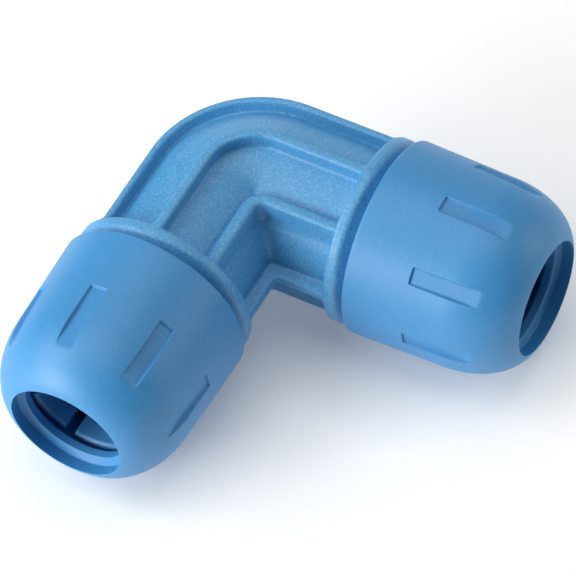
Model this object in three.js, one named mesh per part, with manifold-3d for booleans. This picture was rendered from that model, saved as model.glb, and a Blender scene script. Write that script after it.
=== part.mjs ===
// Push to connect fitting: an equal 90 degree elbow for a compressed-air pipe.
// Millimetres, +Z up. One leg runs along -Y and is called a, the other along +X and is called b.
// Every piece of a leg is drawn in the leg's own frame: +Y runs out along the pipe's axis from the
// point where the two axes meet, +Z is up, and an angle starts at +Z and turns towards +X.
import * as THREE from 'three';
import { mergeVertices } from 'three/addons/utils/BufferGeometryUtils.js';
import Module from 'manifold-3d';

const wasm = await Module();
wasm.setup();

// Driving dimensions
const NUT_RADIUS = 16; // the nut's largest radius, which the rest of the outside follows
const PIPE_RADIUS = 8.25; // the pipe that the fitting takes
const GAP = 0.3; // working clearance between two pieces
const PITCH = 3; // nut thread
const FINGERS = 6; // fingers of the grip collet
const OVERLAP = 1; // how far joined solids run into each other, and cutting ones past the surface

// Elbow: a round tube with moulded ribs, its bend concentric about one upright axis
const TUBE_RADIUS = 0.795 * NUT_RADIUS;
const BEND = 0.52 * NUT_RADIUS; // radius of the bent centreline
const RIB_TIP = 0.952 * NUT_RADIUS; // every rib reaches out to one cylinder
const FLANGE_TIP = 0.937 * NUT_RADIUS; // the flange on the parting plane
const FLANGE_HALF = 0.045 * NUT_RADIUS;
const MIDDLE_HALF = 0.052 * NUT_RADIUS; // half the middle rib's width
const OUTER_RIB = [0.564 * NUT_RADIUS, 0.626 * NUT_RADIUS]; // side rib outside the bend
const INNER_RIB = [-0.624 * NUT_RADIUS, -0.496 * NUT_RADIUS]; // side rib inside the bend
const COLLAR_RADIUS = 0.955 * NUT_RADIUS;
const COLLAR_START = 1.455 * NUT_RADIUS;
const COLLAR_END = 1.66 * NUT_RADIUS;
const COLLAR_EDGE = 0.4; // chamfer at the collar's rear
const COLLAR_RIM = 1.565 * NUT_RADIUS; // the rim ends here and a cone goes on to the nut
const COLLAR_CONE = 0.845 * NUT_RADIUS; // the cone's small end

// Bore
const FLOW_RADIUS = 6.6; // the pipe's own bore
const SOCKET_CLEARANCE = 0.25;
const SOCKET_RADIUS = PIPE_RADIUS + SOCKET_CLEARANCE;
const RING_BORE = SOCKET_RADIUS + 0.2; // the loose rings stand back from the pipe
const PIPE_STOP = 17; // where the pushed-in pipe ends
const SEAL_SEAT = 33.4; // floor of the seal's counterbore
const SEAL_BORE = 10.8;

// Spigot and thread
const SPIGOT_RADIUS = 11.9;
const SPIGOT_END = 37;
const SPIGOT_CHAMFER = 0.5;
const MALE_CREST = 13;
const MALE_SPAN = [26.6, 36.2];
const NUT_BORE = 13.4;
const FEMALE_CREST = 12.3;
const FEMALE_SPAN = [27.4, 36.4];
const THREAD_BASE = 1.8; // width of the thread where it stands on the wall
const THREAD_TOP = 0.9;

// Nut outside
const NUT_REAR = 1.68 * NUT_RADIUS;
const NUT_REAR_ROUND = 0.02 * NUT_RADIUS;
const SHOULDER = 2.706 * NUT_RADIUS; // the dome begins here
const SHOULDER_RADIUS = 0.974 * NUT_RADIUS;
const MOUTH = 3.39 * NUT_RADIUS;
const LIP_RADIUS = 0.589 * NUT_RADIUS;
const DOME_ANGLE = THREE.MathUtils.degToRad(78.6); // how much of a quarter ellipse the dome uses

// Nut inside, from the mouth inwards
const MOUTH_BORE = 0.62 * NUT_RADIUS;
const MOUTH_STEP = 3.25 * NUT_RADIUS;
const GUIDE_START = 3.206 * NUT_RADIUS;
const GUIDE_RADIUS = 0.546 * NUT_RADIUS;
const GUIDE_END = 3.125 * NUT_RADIUS;
const CONE_SMALL = { radius: 10.3, at: 49.6 };
const CONE_LARGE = { radius: 12.6, at: 44 };
const RING_SHOULDER = 41.5; // the slip ring bears here

// Grip slots round the nut's shoulder
const SLOTS = 8;
const SLOT_WIDTH = 0.175 * NUT_RADIUS;
const SLOT_START = 2.33 * NUT_RADIUS;
const SLOT_LENGTH = 0.72 * NUT_RADIUS;
const SLOT_FLOOR = 0.9565 * NUT_RADIUS; // at the slot's rear end
const SLOT_TILT = THREE.MathUtils.degToRad(3.8); // the floor deepens towards the mouth

// Slip ring, spacer and seal
const RING_REAR = 38.3;
const RING_WEB = 40.2; // front of the ring's web
const RING_RIM = 12; // inside of its rim
const SPACER_SPAN = [36.4, 37.9];
const SEAL_SECTION = 1.2;
const SEAL_CENTRE = 9.3;

// Collet and teeth
const COLLET_BORE = 8.9;
const COLLET_REAR = 42;
const COLLET_BASE_END = 43.6;
const COLLET_BASE_RADIUS = 11.6;
const COLLET_FRONT = 3.056 * NUT_RADIUS;
const COLLET_CHAMFER = 0.5;
const COLLET_CLEARANCE = 0.39; // from the nut's cone, measured across the axis
const FINGER_GAP = 0.1 * NUT_RADIUS;
const FINGER_ROOT = 44;
const POCKET_ROUND = 0.02; // radians that a pocket is wider than its tooth, beyond the gap
const TOOTH = { tip: 8.45, valley: 9.1, back: 10.6, rear: 44.7, wall: 0.7, half: 14, points: 3 };

// Facets round a circle
const OUTER_FACETS = 36;
const INNER_FACETS = 24;
const THREAD_FACETS = 24;

// Turn of each leg about +Z, and of its slots and finger gaps about its own axis
const LEGS = [
  { name: 'a', turn: Math.PI, slots: 52.6, fingers: 158.4 },
  { name: 'b', turn: -Math.PI / 2, slots: -41.3, fingers: -128.4 },
];

const { degToRad } = THREE.MathUtils;

// The mesh as a manifold solid, for joining and cutting
function solid(geometry) {
  const bare = geometry.clone();
  bare.deleteAttribute('normal');
  bare.deleteAttribute('uv');
  const merged = mergeVertices(bare, 1e-4);
  return new wasm.Manifold(new wasm.Mesh({
    numProp: 3,
    vertProperties: new Float32Array(merged.attributes.position.array),
    triVerts: new Uint32Array(merged.index.array),
  }));
}

function geometryOf(manifold) {
  const mesh = manifold.getMesh();
  const geometry = new THREE.BufferGeometry();
  geometry.setAttribute('position', new THREE.BufferAttribute(mesh.vertProperties, 3));
  geometry.setIndex(new THREE.BufferAttribute(mesh.triVerts, 1));
  geometry.computeVertexNormals();
  return geometry;
}

const join = (solids) => solids.reduce((all, next) => all.add(next));

// A body of revolution about +Y. The profile is [radius, distance] pairs, outside first going up.
function turned(profile, facets) {
  const points = profile.map(([radius, at]) => new THREE.Vector2(radius, at));
  return new THREE.LatheGeometry(points, facets);
}

// A ring: the profile closes on itself
function ring(profile, facets = INNER_FACETS) {
  return turned([...profile, profile[0]], facets);
}

// A plain round bar along +Y
function bar(radius, from, to, facets = INNER_FACETS) {
  return turned([[0, from], [radius, from], [radius, to], [0, to]], facets);
}

// One thread, bent from a long box. It stands on the wall at base radius and ends at crest radius.
function thread(base, crest, span, phase) {
  const turns = (span[1] - span[0]) / PITCH - THREAD_BASE / PITCH;
  const steps = Math.ceil(turns * THREAD_FACETS);
  const geometry = new THREE.BoxGeometry(1, 1, 1, steps, 1, 1);
  const position = geometry.attributes.position;
  const outward = Math.sign(crest - base); // keeps the faces pointing out on either kind of thread
  for (let i = 0; i < position.count; i += 1) {
    const along = position.getX(i) + 0.5;
    const atCrest = position.getY(i) > 0;
    const side = position.getZ(i);
    const angle = phase + along * turns * 2 * Math.PI;
    const radius = atCrest ? crest : base;
    const width = atCrest ? THREAD_TOP : THREAD_BASE;
    const at = span[0] + THREAD_BASE / 2 + along * turns * PITCH - outward * side * width;
    position.setXYZ(i, radius * Math.sin(angle), at, radius * Math.cos(angle));
  }
  return geometry;
}

// Angle at which a thread has to start so that it lies half a pitch from one that starts at angle 0
function meshingPhase(start, otherStart) {
  return (2 * Math.PI * (start - otherStart)) / PITCH + Math.PI;
}

// The elbow's outline in plan, at one distance outside the centreline (negative is inside)
function planPath(offset, end) {
  const corner = BEND + offset;
  const points = [new THREE.Vector2(end, offset)];
  if (corner > 0) {
    const arc = new THREE.ArcCurve(BEND, -BEND, corner, Math.PI / 2, Math.PI);
    points.push(...arc.getPoints(8));
  } else {
    points.push(new THREE.Vector2(-offset, offset));
  }
  points.push(new THREE.Vector2(-offset, -end));
  return points;
}

// An upright wall that follows the elbow between two such outlines
function planWall(inner, outer, halfHeight, end) {
  const outline = [...planPath(outer, end), ...planPath(inner, end).reverse()];
  const wall = new THREE.ExtrudeGeometry(new THREE.Shape(outline), {
    depth: 2 * halfHeight,
    bevelEnabled: false,
  });
  return wall.translate(0, 0, -halfHeight);
}

// What lies in the bend, between the two legs
function bendQuadrant() {
  const size = 4 * NUT_RADIUS;
  return solid(new THREE.BoxGeometry(size, size, size).translate(BEND - size / 2, size / 2 - BEND, 0));
}

// The round tube through the bend. Its inner side passes the bend's axis, so it is cut off there.
function bendTube() {
  const cut = Math.acos(-BEND / TUBE_RADIUS);
  const steps = 16;
  const profile = [];
  for (let i = 0; i <= steps; i += 1) {
    const angle = -cut + (2 * cut * i) / steps;
    const radius = Math.max(0, BEND + TUBE_RADIUS * Math.cos(angle));
    profile.push([i === 0 || i === steps ? 0 : radius, TUBE_RADIUS * Math.sin(angle)]);
  }
  const whole = turned(profile, OUTER_FACETS).rotateX(Math.PI / 2).translate(BEND, -BEND, 0);
  return solid(whole).intersect(bendQuadrant());
}

function bendBore() {
  const whole = new THREE.TorusGeometry(BEND, FLOW_RADIUS, INNER_FACETS, 32).translate(BEND, -BEND, 0);
  return solid(whole).intersect(bendQuadrant());
}

// Tube, collar and threaded spigot of one leg
function legBody() {
  const tube = solid(bar(TUBE_RADIUS, BEND, COLLAR_END - OVERLAP, OUTER_FACETS));
  const collar = solid(turned([
    [0, COLLAR_START],
    [COLLAR_RADIUS - COLLAR_EDGE, COLLAR_START],
    [COLLAR_RADIUS, COLLAR_START + COLLAR_EDGE],
    [COLLAR_RADIUS, COLLAR_RIM],
    [COLLAR_CONE, COLLAR_END],
    [0, COLLAR_END],
  ], OUTER_FACETS));
  const spigot = solid(turned([
    [0, COLLAR_END - OVERLAP],
    [SPIGOT_RADIUS, COLLAR_END - OVERLAP],
    [SPIGOT_RADIUS, SPIGOT_END - SPIGOT_CHAMFER],
    [SPIGOT_RADIUS - SPIGOT_CHAMFER, SPIGOT_END],
    [0, SPIGOT_END],
  ], INNER_FACETS));
  const male = solid(thread(SPIGOT_RADIUS - GAP, MALE_CREST, MALE_SPAN, 0));
  return join([tube, collar, spigot, male]);
}

function legBore() {
  return solid(turned([
    [0, BEND],
    [FLOW_RADIUS, BEND],
    [FLOW_RADIUS, PIPE_STOP],
    [SOCKET_RADIUS, PIPE_STOP],
    [SOCKET_RADIUS, SEAL_SEAT],
    [SEAL_BORE, SEAL_SEAT],
    [SEAL_BORE, SPIGOT_END + OVERLAP],
    [0, SPIGOT_END + OVERLAP],
  ], INNER_FACETS));
}

function turnedTo(manifold, turn) {
  return solid(geometryOf(manifold).rotateZ(turn));
}

function elbowBody() {
  const end = COLLAR_START + OVERLAP;
  const sideTip = Math.sqrt(RIB_TIP ** 2 - OUTER_RIB[1] ** 2);
  const ribs = [
    planWall(-MIDDLE_HALF, MIDDLE_HALF, RIB_TIP, end),
    planWall(...OUTER_RIB, sideTip, end),
    planWall(...INNER_RIB, sideTip, end),
    planWall(-FLANGE_TIP, FLANGE_TIP, FLANGE_HALF, end),
  ];
  const outside = join([
    bendTube(),
    ...LEGS.map((leg) => turnedTo(legBody(), leg.turn)),
    ...ribs.map(solid),
  ]);
  const bores = join([bendBore(), ...LEGS.map((leg) => turnedTo(legBore(), leg.turn))]);
  return geometryOf(outside.subtract(bores));
}

// The nut's outside, from the rear plane to the lip
function nutOutside() {
  const profile = [];
  const roundSteps = 2;
  for (let i = 0; i <= roundSteps; i += 1) {
    const angle = (Math.PI / 2) * (i / roundSteps);
    profile.push([
      NUT_RADIUS - NUT_REAR_ROUND * (1 - Math.sin(angle)),
      NUT_REAR + NUT_REAR_ROUND * (1 - Math.cos(angle)),
    ]);
  }
  const taper = (SHOULDER_RADIUS - NUT_RADIUS) / (SHOULDER - NUT_REAR - NUT_REAR_ROUND);
  const length = (MOUTH - SHOULDER) / Math.sin(DOME_ANGLE);
  const atLip = SHOULDER_RADIUS + taper * (MOUTH - SHOULDER);
  const drop = (atLip - LIP_RADIUS) / (1 - Math.cos(DOME_ANGLE));
  const domeSteps = 7;
  for (let i = 0; i <= domeSteps; i += 1) {
    const angle = (DOME_ANGLE * i) / domeSteps;
    const beyond = length * Math.sin(angle);
    const radius = SHOULDER_RADIUS + taper * beyond - drop * (1 - Math.cos(angle));
    profile.push([radius, SHOULDER + beyond]);
  }
  return profile;
}

function nut(slotPhase) {
  const shell = solid(ring([
    ...nutOutside(),
    [MOUTH_BORE, MOUTH_STEP],
    [GUIDE_RADIUS, GUIDE_START],
    [GUIDE_RADIUS, GUIDE_END],
    [CONE_SMALL.radius, CONE_SMALL.at],
    [CONE_LARGE.radius, CONE_LARGE.at],
    [CONE_LARGE.radius, RING_SHOULDER],
    [NUT_BORE, RING_SHOULDER],
    [NUT_BORE, NUT_REAR],
  ], OUTER_FACETS));
  const phase = meshingPhase(FEMALE_SPAN[0], MALE_SPAN[0]);
  const female = solid(thread(NUT_BORE + GAP, FEMALE_CREST, FEMALE_SPAN, phase));
  const height = NUT_RADIUS;
  const slots = Array.from({ length: SLOTS }, (_, k) => solid(
    new THREE.BoxGeometry(SLOT_WIDTH, SLOT_LENGTH, height)
      .translate(0, SLOT_LENGTH / 2, height / 2)
      .rotateX(-SLOT_TILT)
      .translate(0, SLOT_START, SLOT_FLOOR)
      .rotateY(degToRad(slotPhase) + (2 * Math.PI * k) / SLOTS),
  ));
  return geometryOf(shell.add(female).subtract(join(slots)));
}

// The thrust ring that the nut turns on. Its rim guides the back of the collet.
function slipRing() {
  return ring([
    [NUT_BORE - GAP, RING_REAR],
    [NUT_BORE - GAP, RING_SHOULDER - GAP],
    [RING_RIM, RING_SHOULDER - GAP],
    [RING_RIM, RING_WEB],
    [RING_BORE, RING_WEB],
    [RING_BORE, RING_REAR],
  ]);
}

function spacer() {
  const outer = SEAL_BORE - GAP;
  const [rear, front] = SPACER_SPAN;
  return ring([[outer, rear], [outer, front], [RING_BORE, front], [RING_BORE, rear]]);
}

function sealRing() {
  const at = SEAL_SEAT + GAP + SEAL_SECTION;
  return new THREE.TorusGeometry(SEAL_CENTRE, SEAL_SECTION, 8, INNER_FACETS)
    .rotateX(Math.PI / 2)
    .translate(0, at, 0);
}

// Angle of one finger's middle. The gaps lie half a finger to each side.
const fingerAngle = (phase, k) => degToRad(phase) + (2 * Math.PI * (k + 0.5)) / FINGERS;

function collet(fingerPhase) {
  const slope = (CONE_LARGE.radius - CONE_SMALL.radius) / (CONE_SMALL.at - CONE_LARGE.at);
  const back = CONE_LARGE.radius - COLLET_CLEARANCE;
  const body = solid(ring([
    [COLLET_BASE_RADIUS, COLLET_REAR],
    [COLLET_BASE_RADIUS, COLLET_BASE_END],
    [back, CONE_LARGE.at],
    [back - slope * (COLLET_FRONT - CONE_LARGE.at), COLLET_FRONT],
    [COLLET_BORE + COLLET_CHAMFER, COLLET_FRONT],
    [COLLET_BORE, COLLET_FRONT - COLLET_CHAMFER],
    [COLLET_BORE, COLLET_REAR],
  ]));
  const reach = NUT_RADIUS;
  const length = COLLET_FRONT - FINGER_ROOT + OVERLAP;
  const gaps = Array.from({ length: FINGERS }, (_, k) => solid(
    new THREE.BoxGeometry(FINGER_GAP, length, reach)
      .translate(0, FINGER_ROOT + length / 2, reach / 2)
      .rotateY(degToRad(fingerPhase) + (2 * Math.PI * k) / FINGERS),
  ));
  const pockets = Array.from({ length: FINGERS }, (_, k) => solid(
    toothPocket().rotateY(fingerAngle(fingerPhase, k)),
  ));
  return geometryOf(body.subtract(join([...gaps, ...pockets])));
}

// A flat arc plate across the axis, from an outline drawn with its middle at +Y
function arcPlate(outline, rear, wall) {
  return new THREE.ExtrudeGeometry(new THREE.Shape(outline), { depth: wall, bevelEnabled: false })
    .rotateX(Math.PI / 2)
    .rotateY(Math.PI)
    .translate(0, rear + wall, 0);
}

const polar = (radius, angle) => new THREE.Vector2(radius * Math.sin(angle), radius * Math.cos(angle));

function toothPocket() {
  const half = degToRad(TOOTH.half) + GAP / TOOTH.tip + POCKET_ROUND;
  const steps = 6;
  const arc = (radius) => Array.from(
    { length: steps + 1 },
    (_, i) => polar(radius, -half + (2 * half * i) / steps),
  );
  const outline = [...arc(TOOTH.back + COLLET_CLEARANCE), ...arc(COLLET_BORE - OVERLAP).reverse()];
  return arcPlate(outline, TOOTH.rear - GAP, TOOTH.wall + 2 * GAP);
}

// A steel blade with pointed teeth on its inner edge
function tooth() {
  const half = degToRad(TOOTH.half);
  const back = Array.from({ length: 5 }, (_, i) => polar(TOOTH.back, -half + (half * i) / 2));
  const edge = Array.from({ length: 2 * TOOTH.points + 1 }, (_, i) => polar(
    i % 2 ? TOOTH.tip : TOOTH.valley,
    half - (half * i) / TOOTH.points,
  ));
  return arcPlate([...back, ...edge], TOOTH.rear, TOOTH.wall);
}

const materials = {
  body: new THREE.MeshStandardMaterial({ color: 0x6ba1cc, roughness: 0.55, metalness: 0 }),
  nut: new THREE.MeshStandardMaterial({ color: 0x5a98d0, roughness: 0.42, metalness: 0 }),
  collet: new THREE.MeshStandardMaterial({ color: 0x4f93c6, roughness: 0.45, metalness: 0 }),
  inner: new THREE.MeshStandardMaterial({ color: 0x3f79ab, roughness: 0.5, metalness: 0 }),
  rubber: new THREE.MeshStandardMaterial({ color: 0x1b1c1f, roughness: 0.7, metalness: 0 }),
  steel: new THREE.MeshStandardMaterial({ color: 0xb9bcc0, roughness: 0.3, metalness: 1 }),
};

function piece(name, geometry, material) {
  const mesh = new THREE.Mesh(geometry, material);
  mesh.name = name;
  return mesh;
}

function legPieces(leg) {
  const group = new THREE.Group();
  group.rotation.z = leg.turn;
  group.add(
    piece(`nut_${leg.name}`, nut(leg.slots), materials.nut),
    piece(`slip_ring_${leg.name}`, slipRing(), materials.inner),
    piece(`collet_${leg.name}`, collet(leg.fingers), materials.collet),
    piece(`spacer_${leg.name}`, spacer(), materials.inner),
    piece(`seal_ring_${leg.name}`, sealRing(), materials.rubber),
  );
  for (let k = 0; k < FINGERS; k += 1) {
    const blade = tooth().rotateY(fingerAngle(leg.fingers, k));
    group.add(piece(`tooth_${leg.name}_${k + 1}`, blade, materials.steel));
  }
  return group;
}

// The part lies on its two nuts. Its origin is under the middle of its box.
const fitting = new THREE.Group();
const middle = (MOUTH - NUT_RADIUS) / 2;
fitting.position.set(-middle, middle, NUT_RADIUS);
fitting.add(piece('elbow_body', elbowBody(), materials.body));
LEGS.forEach((leg) => fitting.add(legPieces(leg)));

export default fitting;
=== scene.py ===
import math

import bpy
import numpy as np
from mathutils import Matrix, Vector


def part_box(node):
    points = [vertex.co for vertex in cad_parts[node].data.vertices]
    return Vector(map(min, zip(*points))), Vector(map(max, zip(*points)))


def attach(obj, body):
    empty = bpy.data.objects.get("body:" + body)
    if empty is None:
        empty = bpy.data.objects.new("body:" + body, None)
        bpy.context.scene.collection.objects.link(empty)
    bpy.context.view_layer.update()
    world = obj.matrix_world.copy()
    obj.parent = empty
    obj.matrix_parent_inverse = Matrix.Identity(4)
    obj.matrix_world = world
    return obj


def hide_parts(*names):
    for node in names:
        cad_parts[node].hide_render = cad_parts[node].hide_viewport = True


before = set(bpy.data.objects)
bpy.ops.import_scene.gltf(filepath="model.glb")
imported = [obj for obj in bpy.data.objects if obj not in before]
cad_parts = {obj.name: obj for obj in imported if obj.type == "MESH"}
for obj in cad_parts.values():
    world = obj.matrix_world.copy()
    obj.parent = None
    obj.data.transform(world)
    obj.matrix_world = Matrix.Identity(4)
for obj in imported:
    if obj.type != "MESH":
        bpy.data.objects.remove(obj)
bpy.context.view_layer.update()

# Looks of the push to connect fitting: fine moulded meshes, plastics, studio light and camera.
# Shapes are drawn in millimetres from the point where the two pipe axes meet, then placed in the
# frame. One leg, a, runs along -Y and the other, b, along +X. A leg's own pieces are drawn with +Y
# out along its axis and +Z up, and their angles start at +Z and turn towards +X.

MM = 0.001

# ---------------------------------------------------------------- sizes that the frame gives


def leg_span(node):
    """(start, end, radius) of a round piece of leg b along the leg's axis, in millimetres."""
    low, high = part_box(node)
    return (low.x - CENTRE.x) / MM, (high.x - CENTRE.x) / MM, (high.z - low.z) / 2 / MM


nut_a_low, nut_a_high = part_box("nut_a")
nut_b_low, nut_b_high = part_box("nut_b")
R = (nut_a_high.x - nut_a_low.x) / 2 / MM
CENTRE = Vector(((nut_a_low.x + nut_a_high.x) / 2, (nut_b_low.y + nut_b_high.y) / 2, R * MM))
NUT_REAR, MOUTH, _ = leg_span("nut_b")
SPIGOT_END = leg_span("elbow_body")[1]
RING_REAR, RING_FRONT, RING_RADIUS = leg_span("slip_ring_b")
SPACER_REAR, SPACER_FRONT, SPACER_RADIUS = leg_span("spacer_b")
SEAL_REAR, SEAL_FRONT, SEAL_RADIUS = leg_span("seal_ring_b")
COLLET_REAR, COLLET_FRONT, COLLET_RADIUS = leg_span("collet_b")

# ---------------------------------------------------------------- sizes repeated from the CAD part
PITCH = 3  # of the nut thread
THREAD_BASE = 1.8  # width of the thread where it stands on the wall
THREAD_TOP = 0.9

TUBE = 0.795 * R
BEND = 0.52 * R
RIB_TIP = 0.952 * R
FLANGE_TIP = 0.937 * R
FLANGE_HALF = 0.045 * R
MIDDLE_HALF = 0.052 * R
OUTER_RIB = (0.564 * R, 0.626 * R)
INNER_RIB = (-0.624 * R, -0.496 * R)
COLLAR_RADIUS = 0.955 * R
COLLAR_START = 1.455 * R
COLLAR_END = 1.66 * R
COLLAR_RIM = 1.565 * R
COLLAR_CONE = 0.845 * R
FLOW_RADIUS = 6.6
SOCKET_RADIUS = 8.5
RING_BORE = 8.7
PIPE_STOP = 17
SEAL_SEAT = 33.4
SEAL_BORE = 10.8
SPIGOT_RADIUS = 11.9
MALE_CREST = 13
MALE_START, MALE_END = 26.6, 36.2
NUT_BORE = 13.4
FEMALE_CREST = 12.3
FEMALE_START, FEMALE_END = 27.4, 36.4

SHOULDER = 2.706 * R
SHOULDER_RADIUS = 0.974 * R
LIP_RADIUS = 0.589 * R
DOME_ANGLE = math.radians(78.6)
MOUTH_BORE = 0.62 * R
MOUTH_STEP = 3.25 * R
GUIDE_START = 3.206 * R
GUIDE_RADIUS = 0.546 * R
GUIDE_END = 3.125 * R
CONE_SMALL = (10.3, 49.6)
CONE_LARGE = (12.6, 44)
RING_SHOULDER = 41.5
NUT_ROUND = 0.02 * R

SLOTS = 8
SLOT_HALF = 0.0875 * R
SLOT_START = 2.33 * R
SLOT_END = 3.05 * R
SLOT_FLOOR = 0.9565 * R
SLOT_TILT = math.radians(3.8)

COLLET_BORE = 8.9
COLLET_BASE = (11.6, 43.6)
COLLET_CHAMFER = 0.5
COLLET_CLEARANCE = 0.39
FINGERS = 6
FINGER_GAP_HALF = 0.05 * R
FINGER_ROOT = 44
POCKET_BACK = 10.99
POCKET_REAR, POCKET_FRONT = 44.55, 45.55
POCKET_HALF = math.radians(14) + 0.02
RING_WEB = 40.2
RING_RIM = 12

LEGS = {
    "a": {"turn": math.pi, "slots": 52.6, "fingers": 158.4},
    "b": {"turn": -math.pi / 2, "slots": -41.3, "fingers": -128.4},
}

# ---------------------------------------------------------------- mould radii that only the looks have
ROOT_FILLET = 0.35  # rib to tube
RIB_EDGE = 0.42  # round along the edges of the middle rib
INNER_EDGE = 1.4 * RIB_EDGE
OUTER_EDGE = 0.5 * RIB_EDGE
FLANGE_EDGE = 0.3
RIB_DRAFT = 0.035  # how much thicker a rib's wall gets for each millimetre down
OUTER_DRAFT = 0.36  # the same for the wall of the outer side rib that faces the middle
COLLAR_EDGE_ROUND = 0.3
COLLAR_REAR_ROUND = 0.3
COLLAR_FILLET = 0.4
CORNER_ROUND = 0.15 * R  # the inner side rib turns its corner on this radius
CREASE = 1.3  # softens the valley where the two legs meet inside
SHARP_ROUND = 0.1  # the least round of an edge that looks sharp
SPIGOT_ROUND = 0.5
NUT_BORE_ROUND = 0.3
LIP_ROUND = 0.28
MOUTH_STEP_ROUND = 0.12
SLOT_CORNER = 0.25  # round of a slot's corners in plan
SLOT_WALL = (-0.09, 0.13)  # a slot's wall falls between these distances inside its outline
COLLET_EDGE = 0.12
FINGER_GAP_ROUND = 0.5  # root of the gap between two fingers
FINGER_ROUND = 0.2
POCKET_ROUND = 0.06

# ---------------------------------------------------------------- fineness of the meshes
ELBOW_CELL = 0.325
COLLET_CELL = 0.22
MARGIN = 1  # room left round a surface that is made in cells, and overlap of joined solids
ROUND_STEPS = 5  # points of a rounded corner
ROUND_SHARE = 0.48  # how much of the shorter side a rounded corner may use up
SPIGOT_COLUMNS = 116
SPIGOT_ROW = 0.16
BORE_COLUMNS = 96
BEND_STEPS = 24
RING_COLUMNS = 128
RING_ROW = 0.5
SEAL_STEPS = 28
DOME_STEPS = 40
NUT_ROW = 0.45
SLOT_ROW = 0.04  # beside the rear wall of the slots
SLOT_ZONE = (-0.2, 0.3)  # where that is, from SLOT_START
THREAD_ROW = 0.2
SLOT_SURFACE = 0.97 * R  # radius at which the columns beside a slot are measured out
SHARP_ANGLE = math.radians(50)

# ---------------------------------------------------------------- grain, light and view
DRIFT_SCALE = 140  # noise scales per metre
GRAIN_SCALE = 2300
FLECK_SCALE = 2900
SKIN_SCALE = 2500
FLOOR_HALF = 1.5
FLOOR_GLOW = 0.18
WORLD_GLOW = 0.01
LIGHT_DISTANCE = 0.6
LIGHTS = (  # name, azimuth and elevation in degrees, size in metres, watts
    ("key", 302, 41, 0.4, 1.86),
    ("low_front", 333, 16, 0.35, 3.0),
    ("back_right", 123, 22, 0.35, 0.85),
    ("back", 168, 12, 0.35, 0.25),
    ("back_left", 213, 16, 0.35, 0.7),
    ("top", 180, 84, 0.5, 1.5),
)
VIEW_AZIMUTH, VIEW_ELEVATION, VIEW_ROLL = 33.46, 53.69, -6.19
VIEW_DISTANCE = 38.56 * R
VIEW_AIM = (0.4912 * R, -1.0904 * R)  # to the right of and above the axes' meeting point
LENS = 244.04
SENSOR = 36


def object_from(name, vertices, faces, matrix, material):
    """A smooth-shaded mesh object whose vertices are moved to their place in the frame."""
    mesh = bpy.data.meshes.new(name)
    mesh.from_pydata(np.asarray(vertices).tolist(), [], faces)
    mesh.transform(matrix)
    mesh.update()
    mesh.shade_smooth()
    if material is not None:
        mesh.materials.append(material)
    made = bpy.data.objects.new(name, mesh)
    bpy.context.scene.collection.objects.link(made)
    return made


def place(turn=0.0):
    """From millimetres about the axes' meeting point to metres in the frame."""
    return Matrix.Translation(CENTRE) @ Matrix.Rotation(turn, 4, "Z") @ Matrix.Scale(MM, 4)


# ---------------------------------------------------------------- turned pieces


def rounded(corners, closed=True):
    """An outline through (radius, along, round) corners, each one rounded off to its own radius."""
    points = []
    count = len(corners)
    for i, (radius, along, size) in enumerate(corners):
        here = np.array((radius, along), float)
        if size <= 0 or (not closed and i in (0, count - 1)):
            points.append(here)
            continue
        before = np.array(corners[i - 1][:2], float) - here
        after = np.array(corners[(i + 1) % count][:2], float) - here
        reach = min(np.linalg.norm(before), np.linalg.norm(after)) * ROUND_SHARE
        before /= np.linalg.norm(before)
        after /= np.linalg.norm(after)
        half = math.acos(np.clip(before @ after, -1, 1)) / 2
        cut = min(size / math.tan(half), reach)
        middle = here + (before + after) / np.linalg.norm(before + after) * cut / math.cos(half)
        first, last = here + before * cut, here + after * cut
        for k in range(ROUND_STEPS + 1):
            share = k / ROUND_STEPS
            spoke = (first - middle) * (1 - share) + (last - middle) * share
            points.append(middle + spoke / np.linalg.norm(spoke) * cut * math.tan(half))
    return points


def divided(points, longest, closed=True):
    """The same outline with every stretch over its longest length divided evenly."""
    out = []
    for i, here in enumerate(points):
        out.append(here)
        if i == len(points) - 1 and not closed:
            break
        there = points[(i + 1) % len(points)]
        limit = longest(*((here + there) / 2)) if callable(longest) else longest
        parts = max(1, math.ceil(np.linalg.norm(there - here) / limit))
        out.extend(here + (there - here) * k / parts for k in range(1, parts))
    return np.array(out)


def grid_faces(rows, columns, wrap_rows):
    """Quads of a tube of rows, or of a ring where the rows close on themselves too."""
    i = np.arange(rows if wrap_rows else rows - 1)[:, None]
    j = np.arange(columns)[None, :]
    below, beside = (i + 1) % rows, (j + 1) % columns
    corners = [i * columns + j, i * columns + beside, below * columns + beside, below * columns + j]
    faces = np.stack(np.broadcast_arrays(*corners), -1).reshape(-1, 4).tolist()
    if not wrap_rows:
        faces.append(list(range(columns - 1, -1, -1)))
        faces.append(list(range((rows - 1) * columns, rows * columns)))
    return faces


def revolve(radius, along, angle):
    """Points of a turned surface in its leg's own frame."""
    along = np.broadcast_to(along, radius.shape)
    return np.stack([radius * np.sin(angle), along, radius * np.cos(angle)], -1).reshape(-1, 3)


def turned(name, outline, leg, material):
    """A plain turned ring."""
    angle = np.arange(RING_COLUMNS) * 2 * math.pi / RING_COLUMNS
    radius = np.repeat(outline[:, :1], RING_COLUMNS, 1)
    points = revolve(radius, outline[:, 1:], angle)
    faces = grid_faces(len(outline), RING_COLUMNS, True)
    return object_from(name, points, faces, place(leg["turn"]), material)


def smoothstep(value):
    value = np.clip(value, 0, 1)
    return value * value * (3 - 2 * value)


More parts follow.
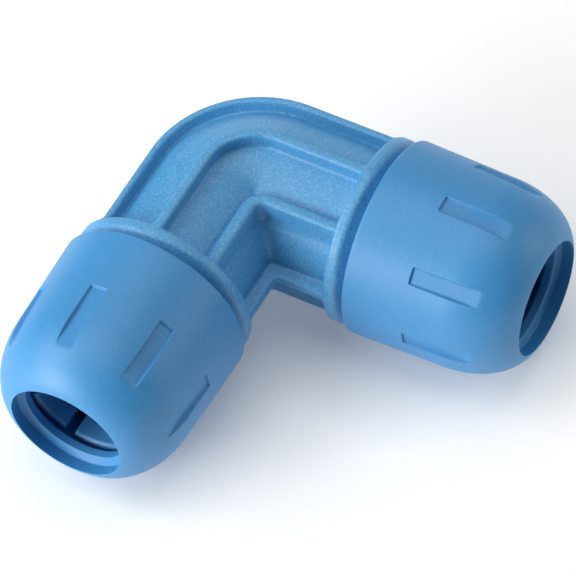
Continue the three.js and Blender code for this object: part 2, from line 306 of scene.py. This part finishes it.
def thread_ridge(along, angle, start, end, phase):
    """Height of a thread, from 0 on the wall to 1 on the crest, with a run-in at either end."""
    first = start + THREAD_BASE / 2
    turns = (end - start - THREAD_BASE) / PITCH
    lead = (angle - phase) / (2 * math.pi)
    turn = lead + np.round((along - first) / PITCH - lead)
    aside = np.abs(along - first - PITCH * turn)
    run_in = 0.12
    ramp = smoothstep(turn / run_in) * smoothstep((turns - turn) / run_in)
    return ramp * smoothstep((THREAD_BASE / 2 - aside) / ((THREAD_BASE - THREAD_TOP) / 2))


# ---------------------------------------------------------------- surfaces from distance functions


def soft_join(a, b, fillet):
    """Union of two shapes, with a round fillet in the corner where they meet."""
    reach = np.hypot(np.maximum(fillet - a, 0), np.maximum(fillet - b, 0))
    return np.maximum(fillet, np.minimum(a, b)) - reach


def soft_meet(a, b, edge):
    """What two shapes share, with its edge rounded off."""
    reach = np.hypot(np.maximum(edge + a, 0), np.maximum(edge + b, 0))
    return np.minimum(-edge, np.maximum(a, b)) + reach


def slope_of(distance, points):
    """Gradient of a distance function at some points."""
    step = 1e-3
    slope = np.empty_like(points)
    for axis in range(3):
        nudge = np.zeros(3)
        nudge[axis] = step
        slope[:, axis] = distance(*(points + nudge).T) - distance(*(points - nudge).T)
    return slope / (2 * step)


def polygonise(distance, low, high, cell):
    """Vertices and quads of the surface where distance is 0: one vertex in each cell that it crosses."""
    axes = [np.arange(a, b + cell, cell) for a, b in zip(low, high)]
    field = distance(*np.meshgrid(*axes, indexing="ij", sparse=True))
    inside = field < 0
    shape = np.array(inside.shape) - 1
    corners = [(a, b, c) for a in (0, 1) for b in (0, 1) for c in (0, 1)]

    def corner(block, shift):
        return block[tuple(slice(s, s + n) for s, n in zip(shift, shape))]

    count = sum(corner(inside, c).astype(np.int8) for c in corners)
    where = np.argwhere((count > 0) & (count < 8))
    index = np.full(shape, -1)
    index[tuple(where.T)] = np.arange(len(where))

    total = np.zeros((len(where), 3))
    crossings = np.zeros((len(where), 1))
    for start in corners:
        for axis in range(3):
            if start[axis]:
                continue
            end = tuple(1 if k == axis else v for k, v in enumerate(start))
            at_start = field[tuple((where + start).T)]
            at_end = field[tuple((where + end).T)]
            crosses = (at_start < 0) != (at_end < 0)
            share = np.where(crosses, at_start / np.where(crosses, at_start - at_end, 1), 0)
            spot = where + np.array(start, float)
            spot[:, axis] += share
            total += spot * crosses[:, None]
            crossings += crosses[:, None]
    points = np.array([a[0] for a in axes]) + total / crossings * cell

    quads = []
    for axis in range(3):
        u, v = (axis + 1) % 3, (axis + 2) % 3
        near = np.take(inside, np.arange(shape[axis]), axis)
        far = np.take(inside, np.arange(1, shape[axis] + 1), axis)
        edges = np.argwhere(near != far)
        edges = edges[(edges[:, u] > 0) & (edges[:, v] > 0)]
        edges = edges[(edges[:, u] < shape[u]) & (edges[:, v] < shape[v])]
        back_u, back_v = np.eye(3, dtype=int)[u], np.eye(3, dtype=int)[v]
        loop = [edges - back_u - back_v, edges - back_v, edges, edges - back_u]
        quad = np.stack([index[tuple(cell_at.T)] for cell_at in loop], -1)
        outward = near[tuple(edges.T)]
        quads.append(np.where(outward[:, None], quad, quad[:, ::-1]))
    quads = np.concatenate(quads)

    for _ in range(3):
        points = relaxed(points, quads)
        for _ in range(2):
            slope = slope_of(distance, points)
            size = np.maximum((slope * slope).sum(1), 0.1)
            points -= slope * (distance(*points.T) / size)[:, None]
    return points, quads


def relaxed(points, quads):
    """Each vertex moved half way to the middle of its neighbours, which evens the mesh out."""
    total = np.zeros_like(points)
    count = np.zeros(len(points))
    for side in (1, 3):
        for k in range(4):
            neighbour = quads[:, (k + side) % 4]
            for axis in range(3):
                total[:, axis] += np.bincount(quads[:, k], points[neighbour, axis], len(points))
            count += np.bincount(quads[:, k], minlength=len(points))
    return (points + total / count[:, None]) / 2


# ---------------------------------------------------------------- the elbow


def plan_offset(x, y):
    """How far a point lies outside the centreline in plan; negative is towards the inner corner."""
    bent = np.hypot(x - BEND, y + BEND) - BEND
    ease = np.minimum(CREASE, np.maximum(x - BEND, 0) + np.maximum(-BEND - y, 0)) + 1e-9
    valley = np.maximum(y, -x) + np.maximum(ease - np.abs(x + y), 0) ** 2 / (4 * ease)
    past_a, past_b = y < -BEND, x > BEND
    straight = np.where(past_b, y + 0 * x, -x + 0 * y)
    return np.where(past_a & past_b, valley, np.where(past_a | past_b, straight, bent))


def elbow_distance(x, y, z):
    """Ribbed tube and collars, without the bore."""
    offset = plan_offset(x, y)
    height = np.abs(z)
    side_tip = math.sqrt(RIB_TIP**2 - OUTER_RIB[1] ** 2)
    inner_middle = -sum(INNER_RIB) / 2
    inner_half = (INNER_RIB[1] - INNER_RIB[0]) / 2
    inner_side = soft_meet(y + inner_middle, inner_middle - x, CORNER_ROUND)
    below_top = np.maximum(RIB_TIP - height, 0)
    below_side = np.maximum(side_tip - height, 0)
    middle = np.abs(offset) - MIDDLE_HALF - RIB_DRAFT * below_top
    inner = np.abs(inner_side) - inner_half - RIB_DRAFT * below_side
    sloped_face = OUTER_RIB[0] - OUTER_DRAFT * below_side - offset
    outer = soft_meet(offset - OUTER_RIB[1], sloped_face, SHARP_ROUND)
    ribs = soft_meet(middle, height - RIB_TIP, RIB_EDGE)
    for wall, edge in ((inner, INNER_EDGE), (outer, OUTER_EDGE)):
        ribs = np.minimum(ribs, soft_meet(wall, height - side_tip, edge))
    inner_flange = -soft_meet(y + FLANGE_TIP, FLANGE_TIP - x, FLANGE_EDGE)
    reach = np.maximum(offset - FLANGE_TIP, inner_flange)
    flange = soft_meet(height - FLANGE_HALF - RIB_DRAFT * np.maximum(-reach, 0), reach, FLANGE_EDGE)
    tube = np.hypot(offset, z) - TUBE
    ribbed = soft_join(tube, np.minimum(ribs, flange), ROOT_FILLET)
    ribbed = np.maximum(ribbed, np.maximum(x, -y) - COLLAR_START - MARGIN)
    collars = None
    for across, along in ((y, x), (x, -y)):
        radius = np.hypot(across, z)
        slope = math.atan2(COLLAR_RADIUS - COLLAR_CONE, COLLAR_END - COLLAR_RIM)
        cone = (radius - COLLAR_RADIUS) * math.cos(slope) + (along - COLLAR_RIM) * math.sin(slope)
        side = soft_meet(radius - COLLAR_RADIUS, cone, COLLAR_EDGE_ROUND)
        collar = soft_meet(side, COLLAR_START - along, COLLAR_REAR_ROUND)
        collar = soft_meet(collar, along - COLLAR_END, SHARP_ROUND)
        collars = collar if collars is None else np.minimum(collars, collar)
    return soft_join(ribbed, collars, COLLAR_FILLET)


def spigot(leg):
    """The threaded end of one leg, as a closed solid that starts inside the collar."""
    core = 0.8 * SPIGOT_RADIUS
    corners = [
        (core, COLLAR_END - MARGIN, 0),
        (SPIGOT_RADIUS, COLLAR_END - MARGIN, 0),
        (SPIGOT_RADIUS, SPIGOT_END, SPIGOT_ROUND),
        (core, SPIGOT_END, 0),
    ]
    outline = divided(rounded(corners, closed=False), SPIGOT_ROW, closed=False)
    angle = np.arange(SPIGOT_COLUMNS) * 2 * math.pi / SPIGOT_COLUMNS
    along = outline[:, 1:]
    ridge = thread_ridge(along, angle, MALE_START, MALE_END, 0)
    on_wall = outline[:, :1] > SPIGOT_RADIUS - 1e-6
    radius = outline[:, :1] + (MALE_CREST - SPIGOT_RADIUS) * ridge * on_wall
    faces = grid_faces(len(outline), SPIGOT_COLUMNS, False)
    return object_from("spigot", revolve(radius, along, angle), faces, place(leg["turn"]), None)


def bore():
    """Everything that is hollow in the elbow, from one mouth round the bend to the other."""
    steps = [
        (SPIGOT_END + MARGIN, SEAL_BORE),
        (SEAL_SEAT, SEAL_BORE),
        (SEAL_SEAT, SOCKET_RADIUS),
        (PIPE_STOP, SOCKET_RADIUS),
        (PIPE_STOP, FLOW_RADIUS),
        (BEND, FLOW_RADIUS),
    ]
    rings = [((0, -along), 0.0, radius) for along, radius in steps]
    for k in range(1, BEND_STEPS):
        angle = math.pi / 2 * k / BEND_STEPS
        middle = (BEND - BEND * math.cos(angle), BEND * math.sin(angle) - BEND)
        rings.append((middle, angle, FLOW_RADIUS))
    rings += [((along, 0), math.pi / 2, radius) for along, radius in reversed(steps)]
    around = np.arange(BORE_COLUMNS) * 2 * math.pi / BORE_COLUMNS
    points = []
    for (x, y), angle, radius in rings:
        aside = radius * np.sin(around)
        points.append(np.stack([
            x + aside * math.cos(angle),
            y - aside * math.sin(angle),
            radius * np.cos(around),
        ], -1))
    faces = grid_faces(len(rings), BORE_COLUMNS, False)
    return object_from("bore", np.concatenate(points), faces, place(), None)


def combine(target, tool, operation):
    """Joins or cuts one mesh with another, and removes the other."""
    modifier = target.modifiers.new(operation, "BOOLEAN")
    modifier.operation = operation
    modifier.solver = "MANIFOLD"
    modifier.object = tool
    with bpy.context.temp_override(object=target, active_object=target):
        bpy.ops.object.modifier_apply(modifier=modifier.name)
    bpy.data.objects.remove(tool)


def elbow(material):
    """The elbow moulding: ribbed tube and collars, joined with both spigots and bored out."""
    low = (-R, -COLLAR_END - MARGIN, -R)
    high = (COLLAR_END + MARGIN, R, R)
    points, quads = polygonise(elbow_distance, low, high, ELBOW_CELL)
    body = object_from("elbow_moulding", points, quads.tolist(), place(), material)
    for leg in LEGS.values():
        combine(body, spigot(leg), "UNION")
    combine(body, bore(), "DIFFERENCE")
    body.data.shade_smooth()
    body.data.set_sharp_from_angle(angle=SHARP_ANGLE)
    return body


# ---------------------------------------------------------------- the nuts


def nut_outline():
    """The nut's section, from the rear edge over the dome to the lip, then back along the inside."""
    taper = (SHOULDER_RADIUS - R) / (SHOULDER - NUT_REAR - NUT_ROUND)
    length = (MOUTH - SHOULDER) / math.sin(DOME_ANGLE)
    drop = (SHOULDER_RADIUS + taper * (MOUTH - SHOULDER) - LIP_RADIUS) / (1 - math.cos(DOME_ANGLE))
    outside = [(NUT_BORE, NUT_REAR, NUT_BORE_ROUND), (R, NUT_REAR, NUT_ROUND)]
    for along in (SLOT_START + SLOT_ZONE[0], SLOT_START + SLOT_ZONE[1]):
        outside.append((SHOULDER_RADIUS + taper * (along - SHOULDER), along, 0))
    for k in range(DOME_STEPS):
        angle = DOME_ANGLE * k / DOME_STEPS
        beyond = length * math.sin(angle)
        radius = SHOULDER_RADIUS + taper * beyond - drop * (1 - math.cos(angle))
        outside.append((radius, SHOULDER + beyond, 0))
    inside = [
        (LIP_RADIUS, MOUTH, LIP_ROUND),
        (MOUTH_BORE, MOUTH_STEP, MOUTH_STEP_ROUND),
        (GUIDE_RADIUS, GUIDE_START, SHARP_ROUND),
        (GUIDE_RADIUS, GUIDE_END, SHARP_ROUND),
        (*CONE_SMALL, SHARP_ROUND),
        (*CONE_LARGE, SHARP_ROUND),
        (CONE_LARGE[0], RING_SHOULDER, SHARP_ROUND),
        (NUT_BORE, RING_SHOULDER, SHARP_ROUND),
    ]

    def longest(radius, along):
        if radius < NUT_BORE + 0.01:
            return THREAD_ROW if along < FEMALE_END else RING_ROW
        return SLOT_ROW if abs(along - SLOT_START) < 0.25 else NUT_ROW

    return divided(rounded(outside + inside), longest)


def slot_columns():
    """Angles of the nut's columns. They are measured out from a slot's middle, closest at its wall."""
    across = [0.0, 0.3, 0.6, 0.85, 1.05, 1.16, 1.22, 1.27, 1.31]
    across += [1.35, 1.39, 1.43, 1.47, 1.51, 1.57, 1.68, 1.85]
    pitch = 2 * math.pi / SLOTS
    wall = [math.asin(w / SLOT_SURFACE) for w in across]
    land = np.linspace(wall[-1], pitch / 2, 9)[1:]
    half = np.concatenate([wall, land])
    one = np.concatenate([-half[:0:-1], half[:-1]])
    return np.concatenate([one + pitch * k for k in range(SLOTS)])


def nut(name, leg, material):
    """Turned from its outline, with the slots pressed in from outside and the thread inside."""
    outline = nut_outline()
    angle = slot_columns() + math.radians(leg["slots"])
    radius, along = outline[:, :1], outline[:, 1:]
    lip = np.argmin(np.abs(along - MOUTH) + np.abs(radius - LIP_RADIUS))
    outside = np.arange(len(outline))[:, None] < lip
    from_slot = (angle - math.radians(leg["slots"]) + math.pi / SLOTS) % (2 * math.pi / SLOTS)
    from_slot = from_slot - math.pi / SLOTS
    across = np.abs(radius * np.sin(from_slot))
    inside_slot = -soft_meet(
        across - SLOT_HALF,
        np.maximum(SLOT_START - along, along - SLOT_END),
        SLOT_CORNER,
    )
    slot_floor = SLOT_FLOOR - (along - SLOT_START) * math.tan(SLOT_TILT)
    depth = np.maximum(radius - slot_floor / np.cos(from_slot), 0)
    wall = smoothstep((inside_slot - SLOT_WALL[0]) / (SLOT_WALL[1] - SLOT_WALL[0]))
    phase = 2 * math.pi * (FEMALE_START - MALE_START) / PITCH + math.pi
    ridge = thread_ridge(along, angle, FEMALE_START, FEMALE_END, phase)
    in_bore = (np.abs(radius - NUT_BORE) < 1e-6) & (along < RING_SHOULDER - 1)
    shaped = radius - depth * wall * outside - (NUT_BORE - FEMALE_CREST) * ridge * in_bore
    faces = grid_faces(len(outline), len(angle), True)
    return object_from(name, revolve(shaped, along, angle), faces, place(leg["turn"]), material)


# ---------------------------------------------------------------- collet and rings


def outline_distance(corners, radius, along):
    """Signed distance in section to a closed outline; negative is inside."""
    nearest = np.full(np.broadcast(radius, along).shape, np.inf)
    inside = np.zeros(nearest.shape, bool)
    for (r0, s0), (r1, s1) in zip(corners, corners[1:] + corners[:1]):
        dr, ds = r1 - r0, s1 - s0
        share = np.clip(((radius - r0) * dr + (along - s0) * ds) / (dr * dr + ds * ds), 0, 1)
        nearest = np.minimum(nearest, np.hypot(radius - r0 - share * dr, along - s0 - share * ds))
        between = (s0 > along) != (s1 > along)
        if ds:
            inside ^= between & (radius < r0 + (along - s0) * dr / ds)
    return np.where(inside, -nearest, nearest)


def collet_distance(phase):
    """Distance to a split collet whose first finger gap is at one angle."""
    back = CONE_LARGE[0] - COLLET_CLEARANCE
    slope = (CONE_LARGE[0] - CONE_SMALL[0]) / (CONE_SMALL[1] - CONE_LARGE[1])
    edge = COLLET_EDGE
    corners = [
        (COLLET_BASE[0] - edge, COLLET_REAR + edge),
        (COLLET_BASE[0] - edge, COLLET_BASE[1]),
        (back - edge, CONE_LARGE[1] + edge / 2),
        (back - edge - slope * (COLLET_FRONT - CONE_LARGE[1]), COLLET_FRONT - edge),
        (COLLET_BORE + COLLET_CHAMFER, COLLET_FRONT - edge),
        (COLLET_BORE + edge, COLLET_FRONT - COLLET_CHAMFER),
        (COLLET_BORE + edge, COLLET_REAR + edge),
    ]
    sector = 2 * math.pi / FINGERS

    def distance(x, y, z):
        radius = np.hypot(x, z)
        around = np.arctan2(x, z) - phase
        from_gap = (around + sector / 2) % sector - sector / 2
        from_middle = around % sector - sector / 2
        body = outline_distance(corners, radius, y) - edge
        gap_wall = np.abs(radius * np.sin(from_gap)) - FINGER_GAP_HALF
        gap = soft_meet(gap_wall, FINGER_ROOT - y, FINGER_GAP_ROUND)
        pocket = np.maximum(radius * (np.abs(from_middle) - POCKET_HALF), radius - POCKET_BACK)
        pocket = np.maximum(pocket, np.maximum(POCKET_REAR - y, y - POCKET_FRONT))
        return soft_meet(soft_meet(body, -gap, FINGER_ROUND), -pocket, POCKET_ROUND)

    return distance


def collet(name, leg, material):
    distance = collet_distance(math.radians(leg["fingers"]))
    reach = COLLET_RADIUS + MARGIN
    low = (-reach, COLLET_REAR - MARGIN, -reach)
    high = (reach, COLLET_FRONT + MARGIN, reach)
    points, quads = polygonise(distance, low, high, COLLET_CELL)
    return object_from(name, points, quads.tolist(), place(leg["turn"]), material)


def slip_ring(name, leg, material):
    outer_round, lip_round, web_round, bore_round = 0.25, 0.15, 0.2, 0.3
    corners = [
        (RING_RADIUS, RING_REAR, outer_round),
        (RING_RADIUS, RING_FRONT, outer_round),
        (RING_RIM, RING_FRONT, lip_round),
        (RING_RIM, RING_WEB, web_round),
        (RING_BORE, RING_WEB, bore_round),
        (RING_BORE, RING_REAR, bore_round),
    ]
    return turned(name, divided(rounded(corners), RING_ROW), leg, material)


def spacer(name, leg, material):
    outer_round, bore_round = 0.2, 0.35
    corners = [
        (SPACER_RADIUS, SPACER_REAR, outer_round),
        (SPACER_RADIUS, SPACER_FRONT, outer_round),
        (RING_BORE, SPACER_FRONT, bore_round),
        (RING_BORE, SPACER_REAR, bore_round),
    ]
    return turned(name, divided(rounded(corners), RING_ROW), leg, material)


def seal_ring(name, leg, material):
    section = (SEAL_FRONT - SEAL_REAR) / 2
    around = np.arange(SEAL_STEPS) * 2 * math.pi / SEAL_STEPS
    outline = np.stack([
        SEAL_RADIUS - section + section * np.cos(around),
        SEAL_REAR + section + section * np.sin(around),
    ], -1)
    return turned(name, outline, leg, material)


# ---------------------------------------------------------------- materials


class Nodes:
    """A material's node tree, with short calls for what the plastics share."""

    def __init__(self, name):
        self.material = bpy.data.materials.new(name)
        self.material.use_nodes = True
        self.tree = self.material.node_tree
        self.shader = self.tree.nodes["Principled BSDF"]
        self.place = self.add("ShaderNodeTexCoord").outputs["Object"]

    def add(self, kind, **values):
        node = self.tree.nodes.new(kind)
        for name, value in values.items():
            setattr(node, name, value)
        return node

    def link(self, start, end):
        self.tree.links.new(start, end)

    def noise(self, scale, detail=2.0, roughness=0.5):
        node = self.add("ShaderNodeTexNoise")
        node.inputs["Scale"].default_value = scale
        node.inputs["Detail"].default_value = detail
        node.inputs["Roughness"].default_value = roughness
        self.link(self.place, node.inputs["Vector"])
        return node.outputs["Fac"]

    def ranged(self, value, low, high, to_low, to_high):
        node = self.add("ShaderNodeMapRange")
        slots = ("From Min", "From Max", "To Min", "To Max")
        for slot, number in zip(slots, (low, high, to_low, to_high)):
            node.inputs[slot].default_value = number
        self.link(value, node.inputs["Value"])
        return node.outputs["Result"]

    def mix(self, share, start, end):
        node = self.add("ShaderNodeMix", data_type="RGBA")
        if isinstance(share, float):
            node.inputs["Factor"].default_value = share
        else:
            self.link(share, node.inputs["Factor"])
        for slot, value in (("A", start), ("B", end)):
            socket = next(s for s in node.inputs if s.name == slot and s.type == "RGBA")
            if isinstance(value, tuple):
                socket.default_value = (*value, 1)
            else:
                self.link(value, socket)
        return next(s for s in node.outputs if s.type == "RGBA")

    def bump(self, height, distance, strength=1.0):
        node = self.add("ShaderNodeBump")
        node.inputs["Distance"].default_value = distance
        node.inputs["Strength"].default_value = strength
        self.link(height, node.inputs["Height"])
        self.link(node.outputs["Normal"], self.shader.inputs["Normal"])


def scaled(colour, factor):
    return tuple(min(1.0, channel * factor) for channel in colour)


def moulded(name, colour, roughness, specular, mottle, fleck, relief):
    """Moulded plastic: slow drifts of tone, a fine mottle, pale flecks and a slightly uneven skin."""
    nodes = Nodes(name)
    drift = nodes.ranged(nodes.noise(DRIFT_SCALE, 2), 0.35, 0.65, 0, 1)
    grain = nodes.ranged(nodes.noise(GRAIN_SCALE, 3, 0.6), 0.36, 0.64, 0, 1)
    flecks = nodes.ranged(nodes.noise(FLECK_SCALE, 3, 0.6), 0.50, 0.74, 0, fleck)
    tone = nodes.mix(drift, scaled(colour, 0.97), scaled(colour, 1.03))
    grained = nodes.mix(grain, scaled(colour, 1 - mottle), scaled(colour, 1 + mottle))
    mixed = nodes.mix(0.5, tone, grained)
    pale = tuple(channel + (1 - channel) * 0.35 for channel in colour)
    nodes.link(nodes.mix(flecks, mixed, pale), nodes.shader.inputs["Base Color"])
    gloss = nodes.ranged(grain, 0, 1, roughness - 0.05, roughness + 0.05)
    nodes.link(gloss, nodes.shader.inputs["Roughness"])
    nodes.shader.inputs["Specular IOR Level"].default_value = specular
    nodes.bump(nodes.noise(SKIN_SCALE, 3, 0.55), relief * MM, 0.8)
    return nodes.material


def rubber():
    nodes = Nodes("black_rubber")
    grain = nodes.noise(1800, 3)
    tone = nodes.mix(grain, (0.010, 0.010, 0.011), (0.022, 0.022, 0.024))
    nodes.link(tone, nodes.shader.inputs["Base Color"])
    nodes.link(nodes.ranged(grain, 0.3, 0.7, 0.55, 0.75), nodes.shader.inputs["Roughness"])
    nodes.bump(grain, 0.02 * MM, 0.4)
    return nodes.material


def steel():
    nodes = Nodes("spring_steel")
    grain = nodes.noise(2600, 4)
    tone = nodes.mix(grain, (0.46, 0.47, 0.49), (0.60, 0.61, 0.62))
    nodes.link(tone, nodes.shader.inputs["Base Color"])
    nodes.link(nodes.ranged(grain, 0.3, 0.7, 0.24, 0.38), nodes.shader.inputs["Roughness"])
    nodes.shader.inputs["Metallic"].default_value = 1.0
    nodes.bump(grain, 0.015 * MM, 0.4)
    return nodes.material


PLASTICS = {  # colour, roughness, specular level, mottle, fleck, relief in millimetres
    "body": ((0.056, 0.312, 0.608), 0.46, 0.74, 0.18, 0.44, 0.06),
    "nut": ((0.040, 0.260, 0.565), 0.47, 0.66, 0.045, 0.12, 0.022),
    "collet": ((0.052, 0.240, 0.500), 0.40, 0.5, 0.05, 0.1, 0.016),
    "inner": ((0.040, 0.190, 0.450), 0.46, 0.5, 0.06, 0.1, 0.02),
}
MATERIALS = {
    **{slot: moulded(f"{slot}_plastic", *finish) for slot, finish in PLASTICS.items()},
    "rubber": rubber(),
    "steel": steel(),
}

# ---------------------------------------------------------------- the pieces


def hand_over(piece, body, node):
    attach(piece, body)
    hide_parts(node)


hand_over(elbow(MATERIALS["body"]), "elbow", "elbow_body")
for letter, leg in LEGS.items():
    for kind, make, body, slot in (
        ("nut", nut, f"nut_{letter}", "nut"),
        ("collet", collet, f"grip_{letter}", "collet"),
        ("slip_ring", slip_ring, f"thrust_{letter}", "inner"),
        ("spacer", spacer, "elbow", "inner"),
        ("seal_ring", seal_ring, "elbow", "rubber"),
    ):
        made = make(f"{kind}_{letter}_fine", leg, MATERIALS[slot])
        hand_over(made, body, f"{kind}_{letter}")

for node_name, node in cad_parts.items():
    if node_name.startswith("tooth"):
        node.data.materials.clear()
        node.data.materials.append(MATERIALS["steel"])
        edge = node.modifiers.new("edge", "BEVEL")
        edge.width = 0.06 * MM
        edge.segments = 2

# ---------------------------------------------------------------- floor, light and camera


def floor():
    signs = ((-1, -1), (1, -1), (1, 1), (-1, 1))
    corners = [(FLOOR_HALF * x, FLOOR_HALF * y, 0) for x, y in signs]
    nodes = Nodes("pale_floor")
    tone = nodes.mix(nodes.noise(30), (0.90, 0.90, 0.90), (0.92, 0.92, 0.92))
    nodes.link(tone, nodes.shader.inputs["Base Color"])
    nodes.shader.inputs["Roughness"].default_value = 0.9
    nodes.shader.inputs["Specular IOR Level"].default_value = 0.1
    nodes.shader.inputs["Emission Color"].default_value = (1, 1, 1, 1)
    nodes.shader.inputs["Emission Strength"].default_value = FLOOR_GLOW
    sheet = object_from("floor", corners, [(0, 1, 2, 3)], Matrix.Identity(4), nodes.material)


def softbox(name, azimuth, elevation, size, power):
    """A square softbox that looks at the object. Azimuth 0 is at -Y and 90 at +X."""
    turn, lift = math.radians(azimuth), math.radians(elevation)
    towards = Vector((math.sin(turn) * math.cos(lift), -math.cos(turn) * math.cos(lift), math.sin(lift)))
    light = bpy.data.lights.new(name, "AREA")
    light.shape = "SQUARE"
    light.size = size
    light.energy = power
    lamp = bpy.data.objects.new(name, light)
    lamp.location = CENTRE + towards * LIGHT_DISTANCE
    lamp.rotation_mode = "QUATERNION"
    lamp.rotation_quaternion = towards.to_track_quat("Z", "Y")
    bpy.context.scene.collection.objects.link(lamp)


def studio():
    world = bpy.data.worlds.new("studio")
    world.use_nodes = True
    background = world.node_tree.nodes["Background"]
    background.inputs["Color"].default_value = (1, 1, 1, 1)
    background.inputs["Strength"].default_value = WORLD_GLOW
    bpy.context.scene.world = world
    for settings in LIGHTS:
        softbox(*settings)
    bpy.context.scene.view_settings.view_transform = "Standard"


def camera():
    """Looks down at the inner corner from between the two mouths, with a long lens."""
    azimuth, elevation = math.radians(VIEW_AZIMUTH), math.radians(VIEW_ELEVATION)
    roll = math.radians(VIEW_ROLL)
    back = Vector((
        math.sin(azimuth) * math.cos(elevation),
        -math.cos(azimuth) * math.cos(elevation),
        math.sin(elevation),
    ))
    level = Vector((math.cos(azimuth), math.sin(azimuth), 0))
    raised = back.cross(level)
    right = math.cos(roll) * level + math.sin(roll) * raised
    up = back.cross(right)
    data = bpy.data.cameras.new("camera")
    data.sensor_width = SENSOR
    data.lens = LENS
    data.clip_start, data.clip_end = 0.05, 10
    made = bpy.data.objects.new("camera", data)
    aim = CENTRE + (VIEW_AIM[0] * right + VIEW_AIM[1] * up) * MM
    turned_to_view = Matrix((right, up, back)).transposed().to_4x4()
    made.matrix_world = Matrix.Translation(aim + back * VIEW_DISTANCE * MM) @ turned_to_view
    bpy.context.scene.collection.objects.link(made)
    bpy.context.scene.camera = made


floor()
studio()
camera()
